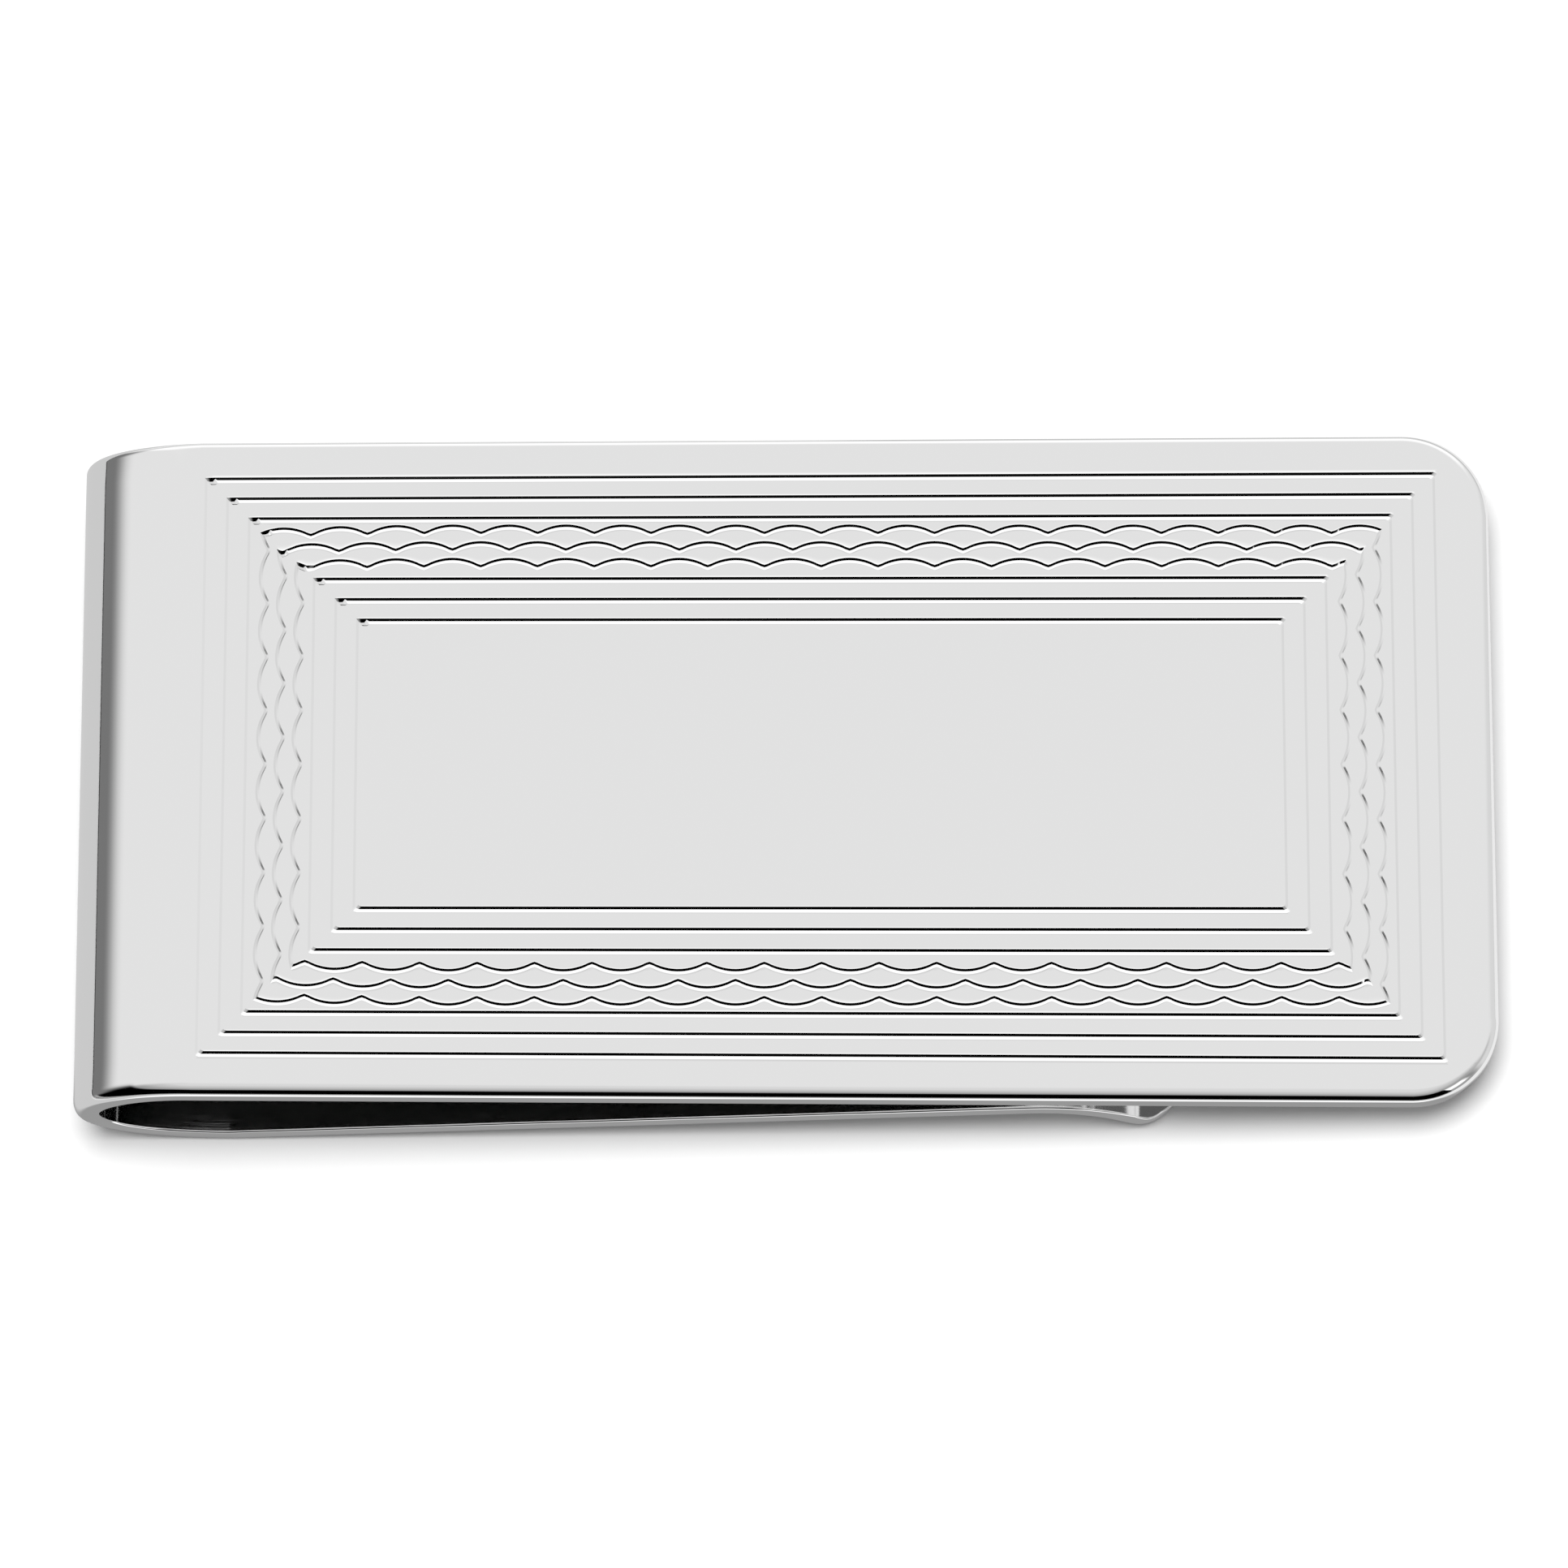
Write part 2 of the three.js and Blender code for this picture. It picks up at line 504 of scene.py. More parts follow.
    def patch(self, path: StripPath) -> bpy.types.Object:
        """Model the engraved field of the plate as one open sheet.

        Args:
            path: the strip's path, whose plate the frames lie on.

        Returns:
            The sheet, level, with x from the end of the bow and z = 0 at the plate's top.
        """
        low, high = self.from_bow, path.length - self.from_end
        half = Vector(((high - low) / 2, path.width / 2 - self.from_side, 0.0))
        middle = Vector(((high + low) / 2, self.off_centre, 0.0))
        edge = half + Vector((self.border, self.border, 0.0))
        ways = ((-1, -1), (1, -1), (1, 1), (-1, 1))
        points = [Vector((x * edge.x, y * edge.y - self.off_centre, 0.0)) for x, y in ways]
        faces: list[list[int]] = []
        rows = [Row.OUTER_FOOT] * len(points)
        inner = inner_corners = list(range(len(points)))
        for place, line in self.frames:
            inset = place * self.pitch
            steps = self.steps(line, inset, half)
            ends = self.ends(line)
            counts = [1 + ends + len(stations) + ends for stations in steps]
            counts[Side.BACK] += len(self.pit) - 1 - ends
            corners = [sum(counts[:side]) for side in Side]
            size = sum(counts)
            for row in Row:
                ring = list(range(len(points), len(points) + size))
                points += self.loop(line, inset, row, steps, half)
                rows += [row] * size
                if row is Row.OUTER_FOOT:
                    faces += self.bridge(points, inner, inner_corners, ring, corners)
                else:
                    quads = zip(inner, inner[1:] + inner[:1], ring[1:] + ring[:1], ring)
                    faces += [list(quad) for quad in quads]
                inner, inner_corners = ring, corners
        faces.append(inner)
        mesh = bpy.data.meshes.new("engraved_field")
        mesh.from_pydata([point + middle for point in points], [], faces)
        creased = (Row.OUTER_BURR, Row.BOTTOM, Row.INNER_BURR)
        creases = mesh.attributes.new("sharp_edge", "BOOLEAN", "EDGE")
        for edge in mesh.edges:
            first, last = (rows[vertex] for vertex in edge.vertices)
            creases.data[edge.index].value = first is last and first in creased
        sheet = bpy.data.objects.new("engraved_field", mesh)
        bpy.context.collection.objects.link(sheet)
        return sheet

    @staticmethod
    def bridge(
        points: list[Vector],
        outer: list[int],
        outer_corners: list[int],
        inner: list[int],
        inner_corners: list[int],
    ) -> list[list[int]]:
        """Close the plain metal between two frames, with quads where both have points abreast of each other.

        Args:
            points: all points so far.
            outer: the outer frame's innermost line of points.
            outer_corners: where in it the four corners are.
            inner: the inner frame's outermost line of points.
            inner_corners: where in it the four corners are.

        Returns:
            The faces.
        """
        faces = []
        for side in Side:
            runs = []
            for ring, corners in ((outer, outer_corners), (inner, inner_corners)):
                start, end = [*corners, len(ring)][side : side + 2]
                runs.append([*ring[start:end], ring[end % len(ring)]])
            axis = side % 2  # x along the front and the back, y along the others
            abreast = [
                (i, j)
                for i, first in enumerate(runs[0][1:-1], 1)
                for j, second in enumerate(runs[1][1:-1], 1)
                if abs(points[first][axis] - points[second][axis]) < HAIR
            ]
            abreast = [(0, 0), *abreast, (len(runs[0]) - 1, len(runs[1]) - 1)]
            for (i, j), (next_i, next_j) in zip(abreast, abreast[1:]):
                faces.append(runs[0][i : next_i + 1] + runs[1][j : next_j + 1][::-1])
        return faces

    def field_box(self, path: StripPath) -> tuple[float, float, float]:
        """Where the engraved field ends: its lowest and highest x, and its highest y."""
        low, high = self.from_bow - self.border, path.length - self.from_end + self.border
        return low, high, path.width / 2 - self.from_side + self.border


# ---- The blank and its fold ----------------------------------------------------------------------------


@dataclass
class FoldedStrip:
    """The whole strip as one mesh: flat at first, then folded, and handed out stretch by stretch."""

    path: StripPath = field(default_factory=StripPath)
    engraving: Engraving = field(default_factory=Engraving)
    plate_corner: float = 3.1 * MM
    lip_corner: float = 2.0 * MM
    corner_steps: int = 26
    rim: float = 0.35 * MM  # how far down the outer face's polished edges run
    rim_spread: float = 1.6  # how much wider than deep they are along the front, where they are widest
    rim_slack: float = 1.05  # how far in the rim's own points may lie, against its width
    inner_rim: float = 0.1 * MM  # radius of the inner face's edges
    rim_steps: int = 8
    bow_steps: int = 72
    ridge_steps: int = 20
    flare_steps: int = 12
    waist: float = 0.3 * MM  # how much narrower each side is round the bow
    waist_reach: float = 9.0 * MM  # over what distance each way
    field_gap: float = 0.02 * MM  # between the engraved field and the nearest fold line
    seam_gap: float = 0.025 * MM  # nearer to a seam than this, a fold line is left out
    weld: float = 0.0005 * MM  # how near points are merged
    cut_width: float = 0.001 * MM  # how near a cut its points lie
    uv_span: float = 100.0  # millimetres of strip to one unit of its UV map
    sharp: float = math.radians(32.0)
    normal_weight: int = 50
    flat: Array = field(init=False)  # the blank's points
    folded: Array = field(init=False)  # the same points in the frame
    faces: list[list[int]] = field(init=False)
    centres: Array = field(init=False)  # the faces' centres on the blank
    normals: Array = field(init=False)  # at each corner of each face, in the frame
    first_loop: list[int] = field(init=False)  # each face's first corner

    def blank(self) -> bpy.types.Object:
        """Model the flat blank, with x = path length minus the distance along the strip, outer face up.

        Returns:
            The blank, with its corners and its rim rounded.
        """
        path = self.path
        total = path.joins()[-1]
        deselect_all()
        bpy.ops.mesh.primitive_plane_add(size=1.0, location=(0.0, 0.0, 0.0))
        blank = bpy.context.object
        blank.name = "blank"
        bpy.ops.object.mode_set(mode="EDIT")
        bpy.ops.mesh.select_all(action="SELECT")
        bpy.ops.transform.resize(value=(total, path.width, 1.0))
        bpy.ops.transform.translate(value=(path.length - total / 2, 0.0, 0.0))
        bpy.ops.object.mode_set(mode="OBJECT")
        for end, radius in ((1, self.plate_corner), (-1, self.lip_corner)):
            middle = path.length - total / 2
            corners = [v for v in blank.data.vertices if (v.co.x - middle) * end > 0]
            self.round_corners(blank, [v.index for v in corners], radius)
        apply_modifier(blank, "SOLIDIFY", thickness=path.sheet, offset=-1.0)
        weights = blank.data.attributes.new("bevel_weight_edge", "FLOAT", "EDGE")
        for edge in blank.data.edges:
            heights = [blank.data.vertices[vertex].co.z for vertex in edge.vertices]
            if max(heights) - min(heights) < path.sheet / 2:
                outer = heights[0] > -path.sheet / 2
                weights.data[edge.index].value = 1.0 if outer else self.inner_rim / self.rim
        apply_modifier(blank, "BEVEL", width=self.rim, segments=self.rim_steps, limit_method="WEIGHT")
        return blank

    def spread_rim(self, blank: bpy.types.Object) -> None:
        """Draw the outer face's rounded edge further in over the face, as a polishing mop does.

        Args:
            blank: the flat blank.
        """
        path = self.path
        total = path.joins()[-1]
        middle = path.length - total / 2
        for vertex in blank.data.vertices:
            x, y, z = vertex.co
            if z < -self.rim:
                continue
            radius = self.plate_corner if x > middle else self.lip_corner
            corner = Vector((abs(x - middle) - total / 2 + radius, abs(y) - path.width / 2 + radius))
            if min(corner) <= 0:
                corner = Vector((corner.x, 0.0)) if corner.x > corner.y else Vector((0.0, corner.y))
            inside = radius - corner.length
            if max(corner) <= 0 or inside > self.rim * self.rim_slack:
                continue
            share = 0.5 - y / path.width  # 1 along the front, 0 along the back
            inwards = corner.normalized() * inside * (self.rim_spread - 1) * share
            vertex.co = (x - math.copysign(inwards.x, x - middle), y - math.copysign(inwards.y, y), z)

    def round_corners(self, blank: bpy.types.Object, corners: list[int], radius: float) -> None:
        """Round some corners of the flat blank.

        Args:
            blank: the flat blank, without thickness.
            corners: its corners by vertex index.
            radius: their radius.
        """
        make_active(blank)
        bpy.ops.object.mode_set(mode="EDIT")
        bpy.ops.mesh.select_mode(type="VERT")
        bpy.ops.mesh.select_all(action="DESELECT")
        bpy.ops.object.mode_set(mode="OBJECT")
        for index in corners:
            blank.data.vertices[index].select = True
        bpy.ops.object.mode_set(mode="EDIT")
        bpy.ops.mesh.bevel(offset=radius, segments=self.corner_steps, affect="VERTICES")
        bpy.ops.object.mode_set(mode="OBJECT")

    def engrave(self, blank: bpy.types.Object) -> None:
        """Cut the plain field out of the blank's top and put the engraved one in its place.

        Args:
            blank: the flat blank.
        """
        low, high, side = self.engraving.field_box(self.path)
        for x in (low, high):
            bisect(blank, (x, 0.0, 0.0), (1.0, 0.0, 0.0))
        for y in (-side, side):
            bisect(blank, (0.0, y, 0.0), (0.0, 1.0, 0.0))
        middle = (low + high) / 2
        bpy.ops.object.mode_set(mode="EDIT")
        bpy.ops.mesh.select_mode(type="FACE")
        bpy.ops.object.mode_set(mode="OBJECT")
        for face in blank.data.polygons:
            place = face.center
            face.select = place.z > -FLUSH and abs(place.x - middle) < MM and abs(place.y) < MM
        bpy.ops.object.mode_set(mode="EDIT")
        bpy.ops.mesh.delete(type="FACE")
        bpy.ops.object.mode_set(mode="OBJECT")
        sheet = self.engraving.patch(self.path)
        make_active(blank)
        sheet.select_set(True)
        bpy.ops.object.join()
        bpy.ops.object.mode_set(mode="EDIT")
        bpy.ops.mesh.select_all(action="SELECT")
        bpy.ops.mesh.remove_doubles(threshold=self.weld)
        bpy.ops.object.mode_set(mode="OBJECT")

    def score(self, blank: bpy.types.Object, seams: list[float]) -> None:
        """Cut the lines across the blank along which it folds, and along which it is divided.

        Args:
            blank: the flat blank.
            seams: further distances along the strip at which it is divided.
        """
        _, bow, leg, ridge, flare, last, _ = self.path.joins()
        lines = list(seams)
        for start, end, count in (
            (bow, leg, self.bow_steps),
            (ridge, flare, self.ridge_steps),
            (flare, last, self.flare_steps),
        ):
            lines += list(np.linspace(start, end, count + 1))
        free = self.engraving.field_box(self.path)[0] - self.field_gap
        for run in sorted(set(lines)):
            x = self.path.length - run
            if x < free and not any(0 < abs(run - seam) < self.seam_gap for seam in seams):
                bisect(blank, (x, 0.0, 0.0), (1.0, 0.0, 0.0))

    def polish(self, blank: bpy.types.Object) -> None:
        """Shade the blank smooth, keep the graver's edges sharp and the flats truly flat.

        Args:
            blank: the flat blank.
        """
        make_active(blank)
        bpy.ops.object.shade_smooth_by_angle(angle=self.sharp, keep_sharp_edges=True)
        settings = {"mode": "FACE_AREA", "weight": self.normal_weight, "keep_sharp": True}
        apply_modifier(blank, "WEIGHTED_NORMAL", **settings)

    def fold(self, points: Array) -> tuple[Array, Array]:
        """Carry points of the blank to the folded strip.

        Args:
            points: x, y and height on the blank, one row each.

        Returns:
            The points in the frame, and the heading at each.
        """
        path = self.path
        run = path.length - points[:, 0]
        x, z, heading = path.follow(run)
        middle = path.joins()[1] + path.bow_run / 2
        reach = path.bow_run / 2 + self.waist_reach
        narrow = self.waist * smoothstep(reach, path.bow_run / 4, np.abs(run - middle))
        y = points[:, 1] * (1 - narrow / (path.width / 2))
        height = points[:, 2]
        level = np.stack([x + height * np.sin(heading), y, z - height * np.cos(heading)], axis=1)
        rest = np.array(path.rest())
        return level @ rest[:3, :3].T + rest[:3, 3], heading

    def make(self, seams: list[float]) -> None:
        """Model, engrave and fold the strip, and keep its arrays.

        Args:
            seams: distances along the strip at which it will be divided.
        """
        blank = self.blank()
        self.engrave(blank)
        self.score(blank, seams)
        self.spread_rim(blank)
        self.polish(blank)
        mesh = blank.data
        self.flat = np.zeros(len(mesh.vertices) * 3)
        mesh.vertices.foreach_get("co", self.flat)
        self.flat = self.flat.reshape(-1, 3)
        self.faces = [list(face.vertices) for face in mesh.polygons]
        self.centres = np.array([face.center for face in mesh.polygons])
        normals = np.zeros(len(mesh.loops) * 3)
        mesh.corner_normals.foreach_get("vector", normals)
        normals = normals.reshape(-1, 3)
        corner = np.array([loop.vertex_index for loop in mesh.loops])
        self.folded, heading = self.fold(self.flat)
        turn = heading[corner]
        level = np.stack(
            [
                -normals[:, 0] * np.cos(turn) + normals[:, 2] * np.sin(turn),
                normals[:, 1],
                -normals[:, 0] * np.sin(turn) - normals[:, 2] * np.cos(turn),
            ],
            axis=1,
        )
        self.normals = level @ np.array(self.path.rest())[:3, :3].T
        self.first_loop = [face.loop_start for face in mesh.polygons]
        bpy.data.objects.remove(blank)
        bpy.data.meshes.remove(mesh)
        log.info("folded strip: %d faces", len(self.faces))

    def stretch(self, name: str, start: float, end: float) -> bpy.types.Object:
        """Hand out one stretch of the folded strip as a closed mesh.

        Args:
            name: the piece's name.
            start: where it starts along the strip.
            end: where it ends.

        Returns:
            The piece, in its place in the frame, with its length and width laid out as a UV map.
        """
        high, low = self.path.length - start, self.path.length - end
        chosen = [i for i, centre in enumerate(self.centres) if low < centre[0] < high]
        faces = [list(self.faces[i]) for i in chosen]
        normals = [
            self.normals[self.first_loop[i] + corner] for i in chosen for corner in range(len(self.faces[i]))
        ]
        inner = [self.centres[i][2] < -self.path.sheet + FLUSH for i in chosen]
        total = self.path.joins()[-1]
        for x, way in ((high, 1), (low, -1)):
            if 0 < self.path.length - x < total - FLUSH:
                ring = self.ring(faces, x, way)
                faces.append(ring)
                facing = self.cap_normal(ring, way)
                normals += [facing] * len(ring)
                inner.append(False)
        used = sorted({vertex for face in faces for vertex in face})
        renamed = {vertex: i for i, vertex in enumerate(used)}
        mesh = bpy.data.meshes.new(name)
        mesh.from_pydata(self.folded[used].tolist(), [], [[renamed[v] for v in face] for face in faces])
        layout = mesh.uv_layers.new(name="strip")
        flat = [self.flat[vertex] for face in faces for vertex in face]
        layout.data.foreach_set("uv", np.array([[p[0], p[1]] for p in flat]).ravel() / MM / self.uv_span)
        mesh.polygons.foreach_set("material_index", [int(side) for side in inner])
        mesh.polygons.foreach_set("use_smooth", [True] * len(faces))
        mesh.normals_split_custom_set([tuple(normal) for normal in normals])
        mesh.update()
        piece = bpy.data.objects.new(name, mesh)
        bpy.context.collection.objects.link(piece)
        return piece

    def ring(self, faces: list[list[int]], x: float, way: int) -> list[int]:
        """Find the strip's section at a cut, in order round it.

        Args:
            faces: the faces on one side of the cut.
            x: where on the blank it is cut.
            way: 1 where the piece lies below x, -1 where it lies above.

        Returns:
            The section's vertices, so ordered that the face they make looks out of the piece.
        """
        found = {v for face in faces for v in face if abs(self.flat[v][0] - x) < self.cut_width}
        middle = np.array([0.0, -self.path.sheet / 2])
        angle = {v: math.atan2(*(self.flat[v][1:] - middle)[::-1]) for v in found}
        return sorted(found, key=lambda v: way * angle[v])

    def cap_normal(self, ring: list[int], way: int) -> Array:
        """Find the way a cut face looks: along the strip, out of the piece.

        Args:
            ring: the vertices round the cut.
            way: 1 where the piece lies below the cut, -1 where it lies above.

        Returns:
            The face's normal in the frame.
        """
        heading = self.path.follow(np.array([self.path.length - self.flat[ring[0]][0]]))[2][0]
        along = Vector((-math.cos(heading), 0.0, -math.sin(heading))) * way
        return np.array(self.path.rest().to_3x3() @ along)


# ---- Finishes ------------------------------------------------------------------------------------------


def node(tree: bpy.types.NodeTree, kind: str, **settings: object) -> bpy.types.Node:
    """Add a node and set it up.

    Args:
        tree: the node tree.
        kind: the node's type, without its ShaderNode prefix.
        **settings: its properties by name.

    Returns:
        The node.
    """
    made = tree.nodes.new("ShaderNode" + kind)
    for name, value in settings.items():
        setattr(made, name, value)
    return made


def math_node(tree: bpy.types.NodeTree, operation: str, *values: object) -> Socket:
    """Add a math node.

    Args:
        tree: the node tree.
        operation: what it does.
        *values: a number or an output socket for each input.

    Returns:
        Its output socket.
    """
    made = node(tree, "Math", operation=operation)
    for socket, value in zip(made.inputs, values):
        if isinstance(value, Socket):
            tree.links.new(value, socket)
        else:
            socket.default_value = value
    return made.outputs[0]


def window(tree: bpy.types.NodeTree, value: Socket, edges: Edges) -> Socket:
    """Add nodes that are 1 between two places, and fade smoothly to 0 on either side.

    Args:
        tree: the node tree.
        value: what is tested.
        edges: where it leaves 0, reaches 1, leaves 1 and is back at 0.

    Returns:
        The output socket.
    """
    rise = node(tree, "MapRange", interpolation_type="SMOOTHSTEP")
    fall = node(tree, "MapRange", interpolation_type="SMOOTHSTEP")
    for ramp, low, high in ((rise, edges[0], edges[1]), (fall, edges[3], edges[2])):
        tree.links.new(value, ramp.inputs["Value"])
        ramp.inputs["From Min"].default_value = low
        ramp.inputs["From Max"].default_value = high
    return math_node(tree, "MULTIPLY", rise.outputs["Result"], fall.outputs["Result"])


def mix(tree: bpy.types.NodeTree, base: object, light: float, *shares: Socket) -> Socket:
    """Lay one tone over what is there.

    Args:
        tree: the node tree.
        base: a number or a socket, what is there.
        light: the tone.
        *shares: where it covers, multiplied together.

    Returns:
        The result's socket.
    """
    share = shares[0]
    for other in shares[1:]:
        share = math_node(tree, "MULTIPLY", share, other)
    kept = math_node(tree, "MULTIPLY", base, math_node(tree, "SUBTRACT", 1.0, share))
    return math_node(tree, "ADD", kept, math_node(tree, "MULTIPLY", share, light))


@dataclass(frozen=True)
class Polish:
    """A finish of bare bright metal, laid out along the strip: its haze, and the fine marks in it."""

    name: str
    colour: Colour
    clearest: float
    haziest: float
    mark_scale: tuple[float, float, float]
    mark_detail: float
    mark_strength: float
    mark_depth: float
    haze_scale: float = 0.0  # none: it is hazy where it is marked
    haze_detail: float = 4.0

    @staticmethod
    def noise(tree: bpy.types.NodeTree, place: Socket, scale: float, detail: float) -> Socket:
        """Add a noise pattern.

        Args:
            tree: the node tree.
            place: where it is read.
            scale: its scale.
            detail: its detail.

        Returns:
            Its output socket.
        """
        made = node(tree, "TexNoise")
        made.inputs["Scale"].default_value = scale
        made.inputs["Detail"].default_value = detail
        tree.links.new(place, made.inputs["Vector"])
        return made.outputs["Fac"]

    def build(self) -> bpy.types.Material:
        """Make the material.

        Returns:
            The material.
        """
        material = bpy.data.materials.new(self.name)
        material.use_nodes = True
        tree = material.node_tree
        shader = tree.nodes["Principled BSDF"]
        shader.inputs["Base Color"].default_value = self.colour
        shader.inputs["Metallic"].default_value = 1.0
        layout = node(tree, "UVMap", uv_map="strip").outputs["UV"]
        drawn = node(tree, "Mapping")
        drawn.inputs["Scale"].default_value = self.mark_scale
        tree.links.new(layout, drawn.inputs["Vector"])
        marks = self.noise(tree, drawn.outputs["Vector"], 1.0, self.mark_detail)
        haze = self.noise(tree, layout, self.haze_scale, self.haze_detail) if self.haze_scale else marks
        ramp = node(tree, "MapRange")
        ramp.inputs["To Min"].default_value = self.clearest
        ramp.inputs["To Max"].default_value = self.haziest
        tree.links.new(haze, ramp.inputs["Value"])
        tree.links.new(ramp.outputs["Result"], shader.inputs["Roughness"])
        bump = node(tree, "Bump")
        bump.inputs["Strength"].default_value = self.mark_strength
        bump.inputs["Distance"].default_value = self.mark_depth
        tree.links.new(marks, bump.inputs["Height"])
        tree.links.new(bump.outputs["Normal"], shader.inputs["Normal"])
        return material


# A clear mirror off the mop, with the faintest haze and handling marks.
MIRROR_POLISH = Polish(
    name="mirror_polish",
    colour=(0.91, 0.91, 0.91, 1.0),
    clearest=0.02,
    haziest=0.06,
    mark_scale=(30.0, 900.0, 1.0),
    mark_detail=3.0,
    mark_strength=0.02,
    mark_depth=0.01 * MM,
    haze_scale=6.0,
)

# The strip's inner face, where the mop doesn't reach: bright, with fine lines along the strip.
DRAWN_POLISH = Polish(
    name="drawn_polish",
    colour=(0.86, 0.86, 0.86, 1.0),
    clearest=0.05,
    haziest=0.14,
    mark_scale=(14.0, 1500.0, 1.0),
    mark_detail=5.0,
    mark_strength=0.25,
    mark_depth=0.02 * MM,
)


# ---- Sub-assemblies ------------------------------------------------------------------------------------


@dataclass
class StripPart:
    """Some stretches of the strip that are dressed and moved alike."""

    strip: FoldedStrip
    finishes: tuple[bpy.types.Material, ...]

    def piece(self, name: str, node_name: str, start: float, end: float) -> bpy.types.Object:
        """Make one stretch in its finishes, to stand for one node of the frame.

        Args:
            name: the piece's name.
            node_name: the node that it stands for.
            start: where it starts along the strip.
            end: where it ends.

        Returns:
            The piece, riding on nothing yet.
        """
        made = self.strip.stretch(name, start, end)
        for finish in self.finishes:
            made.data.materials.append(finish)
        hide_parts(node_name)
        log.info("%s: %d faces", name, len(made.data.polygons))
        return made


@dataclass
class FrontPlate(StripPart):
    """The wide engraved plate and the shoulder that the bow grows out of."""

    def build(self, seams: list[float]) -> None:
        """Make both stretches and let them ride on the plate.

        Args:
            seams: distances along the strip of the plate's free end and of both ends of the shoulder.
        """
        for name, start, end in zip(("front_plate", "bow_shoulder"), seams, seams[1:]):
            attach(self.piece(name + "_metal", name, start, end), "plate")


@dataclass
class SpringBow(StripPart):
    """The part of the bow that bends."""

    def build(self, seams: list[float]) -> None:
        """Make its three stretches, in place, riding on nothing.

        Args:
            seams: distances along the strip of the ends of the three stretches, from the plate down.
        """
        sheet = self.strip.path.sheet
        ends = np.array([[self.strip.path.length - run, 0.0, -sheet] for run in (seams[0], seams[-1])])
        (top, bottom), _ = self.strip.fold(ends)
        for name, start, end in zip(("bow_upper", "bow_nose", "bow_lower"), seams, seams[1:]):
            made = self.piece(name + "_metal", name, start, end)
            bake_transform(made)


@dataclass
class ClampLeg(StripPart):
    """The heel, the straight leg, its ridge and the lip."""

    def build(self, seams: list[float]) -> None:
        """Make its four stretches and let them ride on the leg.

        Args:
            seams: distances along the strip of the ends of the four stretches, from the bow on.
        """
        names = ("bow_heel", "clamp_leg", "grip_ridge", "lead_in_lip")
        for name, start, end in zip(names, seams, seams[1:]):
            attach(self.piece(name + "_metal", name, start, end), "leg")


# ---- Studio --------------------------------------------------------------------------------------------


@dataclass(frozen=True)
class Card:
    """A soft-edged card in the studio that only the metal's reflections show.

    Bearings go from the front round to the right, heights up from the horizon, both in degrees. A card's
    bearings are counted from 0 to 360 if its last one is over 180, and from -180 to 180 if not.
    """

    light: float
    bearing: Edges
    height: Edges


@dataclass(frozen=True)
class PaintedTableTone:
    """A painted tone that the table top glows with in the metal's reflections alone, in millimetres along X
    and Y. Some are painted shade, under the clip, just in front of it and beside the bow; the others dim the
    table's painted glow further off.
    """

    light: float
    x: Edges
    y: Edges


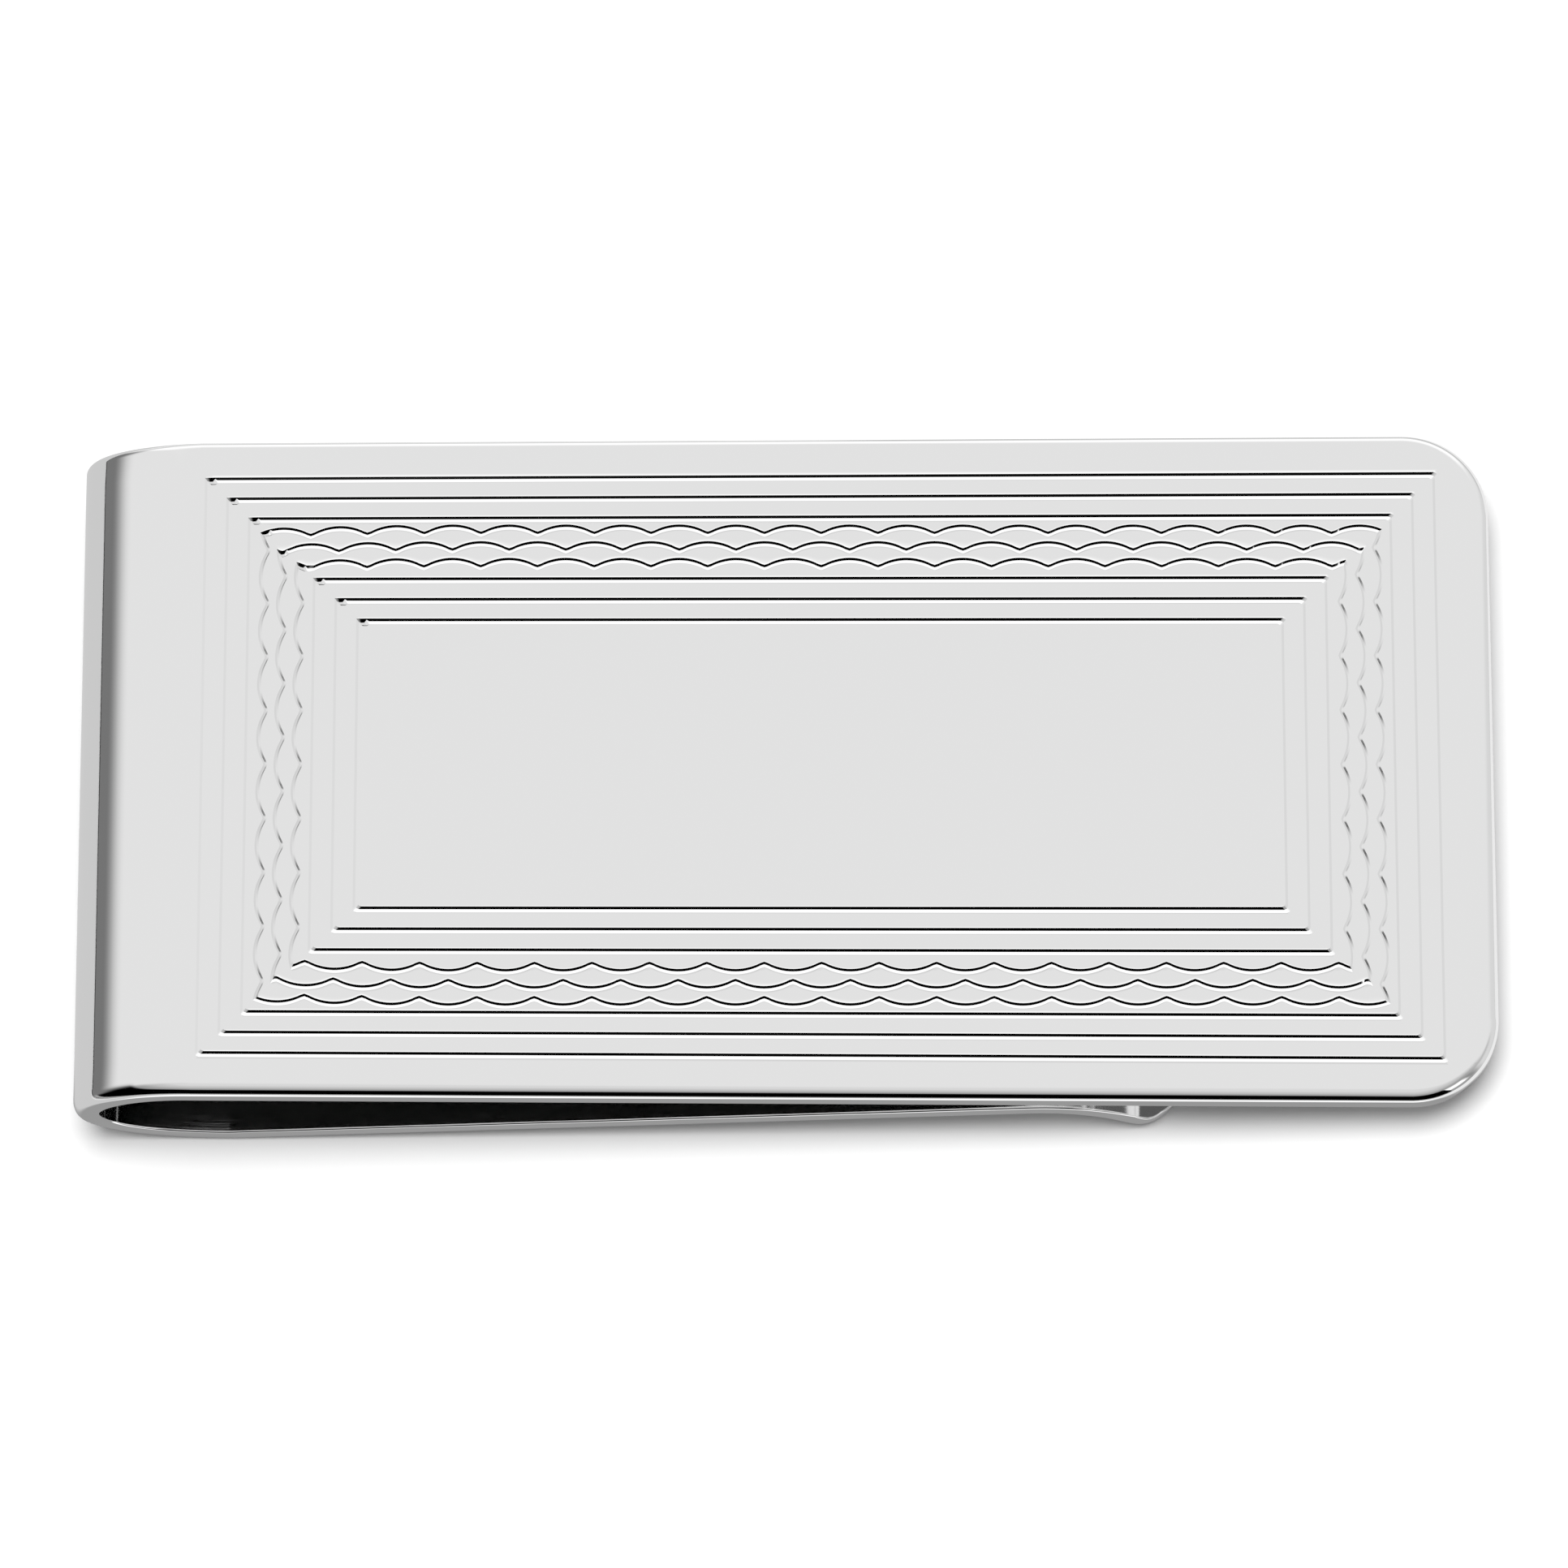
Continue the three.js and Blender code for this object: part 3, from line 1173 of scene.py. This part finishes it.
@dataclass
class Studio:
    """Plain pale table, soft light from overhead, cards for the metal to reflect, and painted tones that the
    table glows with in reflections alone: painted light far off, painted shade under the clip and round it.
    """

    table_size: float = 6.0
    table_colour: Colour = (0.8, 0.8, 0.8, 1.0)
    key_size: float = 0.5
    key_height: float = 1.0
    key_power: float = 11.0
    fill: float = 0.38
    backdrop: float = 1.1
    tent: float = 0.83
    cards: tuple[Card, ...] = (
        Card(1.15, (136.0, 150.0, 210.0, 224.0), (-90.0, -80.0, 38.0, 64.0)),
        Card(0.7, (95.0, 118.0, 242.0, 265.0), (2.0, 7.0, 16.0, 27.0)),
        Card(0.74, (-95.0, -65.0, 65.0, 95.0), (-90.0, -80.0, 78.0, 89.0)),
        Card(0.58, (-95.0, -65.0, 65.0, 95.0), (-90.0, -80.0, 62.0, 76.0)),
        Card(0.36, (-95.0, -65.0, 60.0, 90.0), (-90.0, -80.0, 50.0, 64.0)),
        Card(0.26, (55.0, 64.0, 88.0, 104.0), (14.0, 20.0, 38.0, 50.0)),
        Card(0.0, (-104.0, -72.0, 38.0, 39.5), (5.5, 7.5, 44.0, 50.0)),
        Card(1.15, (38.0, 39.5, 54.0, 60.0), (20.0, 26.0, 40.0, 48.0)),
        Card(0.42, (-181.0, -180.5, 180.5, 181.0), (-9.0, -6.0, 3.0, 9.0)),
        Card(0.19, (-150.0, -135.0, -82.0, -70.0), (0.6, 1.2, 12.0, 34.0)),
        Card(0.03, (-150.0, -135.0, -62.0, -48.0), (-90.0, -80.0, 1.0, 1.6)),
        Card(0.73, (60.0, 75.0, 116.0, 132.0), (-5.0, 5.0, 26.0, 56.0)),
    )
    # painted light: in the metal's reflections the table glows brighter than it is lit
    painted_table_glow: float = 1.15
    painted_table_tones: tuple[PaintedTableTone, ...] = (
        # painted reflection tones: the table far off in front, behind and to the right, darker than its
        # painted glow
        PaintedTableTone(0.42, (-900.0, -800.0, 800.0, 900.0), (-900.0, -800.0, -75.0, -40.0)),
        PaintedTableTone(0.42, (-900.0, -800.0, 800.0, 900.0), (40.0, 75.0, 800.0, 900.0)),
        PaintedTableTone(0.42, (60.0, 110.0, 800.0, 900.0), (-50.0, -40.0, 40.0, 50.0)),
        # painted shade on the table beside the bow, to the left
        PaintedTableTone(0.64, (-400.0, -300.0, -27.0, -25.0), (-60.0, -30.0, 200.0, 300.0)),
        # painted shadow on the table just in front of the clip
        PaintedTableTone(0.33, (-29.0, -26.0, 30.0, 40.0), (-18.0, -16.0, -11.0, -9.0)),
        # painted reflection tone: the table to the right, a little dimmer than its painted glow
        PaintedTableTone(0.9, (24.0, 26.0, 120.0, 200.0), (-40.0, -20.0, 60.0, 90.0)),
        # painted shade on the table under the clip
        PaintedTableTone(0.12, (-26.0, -25.0, 24.0, 26.0), (-12.5, -11.5, 11.5, 12.5)),
    )
    lens: float = 231.0
    film: float = 36.0
    clip: tuple[float, float] = (0.01, 10.0)
    distance: float = 0.36
    elevation: float = math.radians(73.1)
    below_middle: float = 0.73 * MM

    def build_world(self) -> None:
        """Make the world: pale to the eye, an even fill on the table, and the cards in reflections."""
        world = bpy.data.worlds.new("studio")
        bpy.context.scene.world = world
        world.use_nodes = True
        world.cycles.sampling_method = "NONE"
        tree = world.node_tree
        background = tree.nodes["Background"]
        place = node(tree, "TexCoord")
        axes = node(tree, "SeparateXYZ")
        tree.links.new(place.outputs["Generated"], axes.inputs[0])
        x, y, z = axes.outputs
        degrees = FULL_TURN / 2 / math.pi  # to a radian
        height = math_node(tree, "MULTIPLY", math_node(tree, "ARCSINE", z), degrees)
        ahead = math_node(tree, "MULTIPLY", y, -1.0)
        turned = math_node(tree, "MULTIPLY", math_node(tree, "ARCTAN2", x, ahead), degrees)
        behind = math_node(tree, "MODULO", math_node(tree, "ADD", turned, FULL_TURN), FULL_TURN)
        light: object = self.tent
        for card in self.cards:
            bearing = behind if card.bearing[3] > FULL_TURN / 2 else turned
            across, up = window(tree, bearing, card.bearing), window(tree, height, card.height)
            light = mix(tree, light, card.light, across, up)
        rays = node(tree, "LightPath")
        plain = mix(tree, self.fill, self.backdrop, rays.outputs["Is Camera Ray"])
        shown = node(tree, "Mix", data_type="FLOAT")
        tree.links.new(rays.outputs["Is Glossy Ray"], shown.inputs["Factor"])
        tree.links.new(plain, shown.inputs["A"])
        tree.links.new(light, shown.inputs["B"])
        tree.links.new(shown.outputs["Result"], background.inputs["Color"])
        background.inputs["Strength"].default_value = 1.0

    def build_table(self) -> None:
        """Make the table top, on the plane that the clip lies on. The camera and the lamps see it plain and
        pale; glossy rays see it glow with painted tones instead: painted light, and painted shade under the
        clip and round it.
        """
        deselect_all()
        bpy.ops.mesh.primitive_plane_add(size=self.table_size, location=(0.0, 0.0, 0.0))
        table = bpy.context.object
        table.name = "table_top"
        material = bpy.data.materials.new("pale_table_painted_reflection")
        material.use_nodes = True
        material.cycles.emission_sampling = "NONE"
        tree = material.node_tree
        shader = tree.nodes["Principled BSDF"]
        shader.inputs["Base Color"].default_value = self.table_colour
        shader.inputs["Roughness"].default_value = 1.0
        shader.inputs["Specular IOR Level"].default_value = 0.0
        place = node(tree, "TexCoord")
        axes = node(tree, "SeparateXYZ")
        tree.links.new(place.outputs["Object"], axes.inputs[0])
        x, y = (math_node(tree, "DIVIDE", axis, MM) for axis in axes.outputs[:2])
        light: object = self.painted_table_glow
        for patch in self.painted_table_tones:
            light = mix(tree, light, patch.light, window(tree, x, patch.x), window(tree, y, patch.y))
        # painted reflection: glossy rays see the table glow with the painted light and shade, not its lit
        # colour
        glow = node(tree, "Emission")
        tree.links.new(light, glow.inputs["Color"])
        rays = node(tree, "LightPath")
        either = node(tree, "MixShader")
        tree.links.new(rays.outputs["Is Glossy Ray"], either.inputs[0])
        tree.links.new(shader.outputs[0], either.inputs[1])
        tree.links.new(glow.outputs[0], either.inputs[2])
        tree.links.new(either.outputs[0], tree.nodes["Material Output"].inputs["Surface"])
        table.data.materials.append(material)

    def build_key(self) -> None:
        """Hang a round soft light over the clip."""
        light = bpy.data.lights.new("overhead", "AREA")
        light.shape, light.size, light.energy = "DISK", self.key_size, self.key_power
        lamp = bpy.data.objects.new("overhead", light)
        lamp.location = (0.0, 0.0, self.key_height)
        lamp.visible_glossy = False
        lamp.visible_camera = False
        bpy.context.collection.objects.link(lamp)

    def build_camera(self, path: StripPath) -> None:
        """Place the camera in front of the clip, high up, with the plate's long sides level in view.

        Args:
            path: the strip's path, whose plate the camera looks at.
        """
        lens = bpy.data.cameras.new("camera")
        lens.lens, lens.sensor_width = self.lens, self.film
        lens.dof.use_dof = False
        lens.clip_start, lens.clip_end = self.clip
        camera = bpy.data.objects.new("camera", lens)
        bpy.context.collection.objects.link(camera)
        rest = path.rest()
        turn = rest.to_3x3()
        back = turn @ Vector((0.0, -math.cos(self.elevation), math.sin(self.elevation)))
        right = turn @ Vector((1.0, 0.0, 0.0))
        up = back.cross(right)
        middle = rest @ Vector((path.length / 2, 0.0, 0.0))
        axes = Matrix((right, up, back)).transposed().to_4x4()
        place = middle + back * self.distance - up * self.below_middle
        camera.matrix_world = Matrix.Translation(place) @ axes
        bpy.context.scene.camera = camera

    def build(self, path: StripPath) -> None:
        """Make the whole studio.

        Args:
            path: the strip's path, whose plate the camera looks at.
        """
        self.build_table()
        self.build_key()
        self.build_world()
        self.build_camera(path)
        bpy.context.scene.view_settings.view_transform = "Standard"
        log.info("studio: %d cards, %d table tones", len(self.cards), len(self.painted_table_tones))


# ---- All together --------------------------------------------------------------------------------------


def main() -> None:
    """Build the clip and its studio."""
    logging.basicConfig(level=logging.INFO, format="%(name)s: %(message)s")
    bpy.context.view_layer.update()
    strip = FoldedStrip()
    path = strip.path
    free_end, bow, leg, ridge, flare, _, tip = path.joins()
    stretches = list(np.linspace(bow, leg, BOW_STRETCHES + 1))
    stretches[0] = path.length - strip.engraving.field_box(path)[0] + PLATE_MARGIN
    strip.make([*stretches, ridge, flare])
    finishes = (MIRROR_POLISH.build(), DRAWN_POLISH.build())
    FrontPlate(strip, finishes).build([free_end, *stretches[:2]])
    SpringBow(strip, finishes).build(stretches[1:-1])
    ClampLeg(strip, finishes).build([*stretches[-2:], ridge, flare, tip])
    Studio().build(path)


if __name__ == "__main__":
    main()
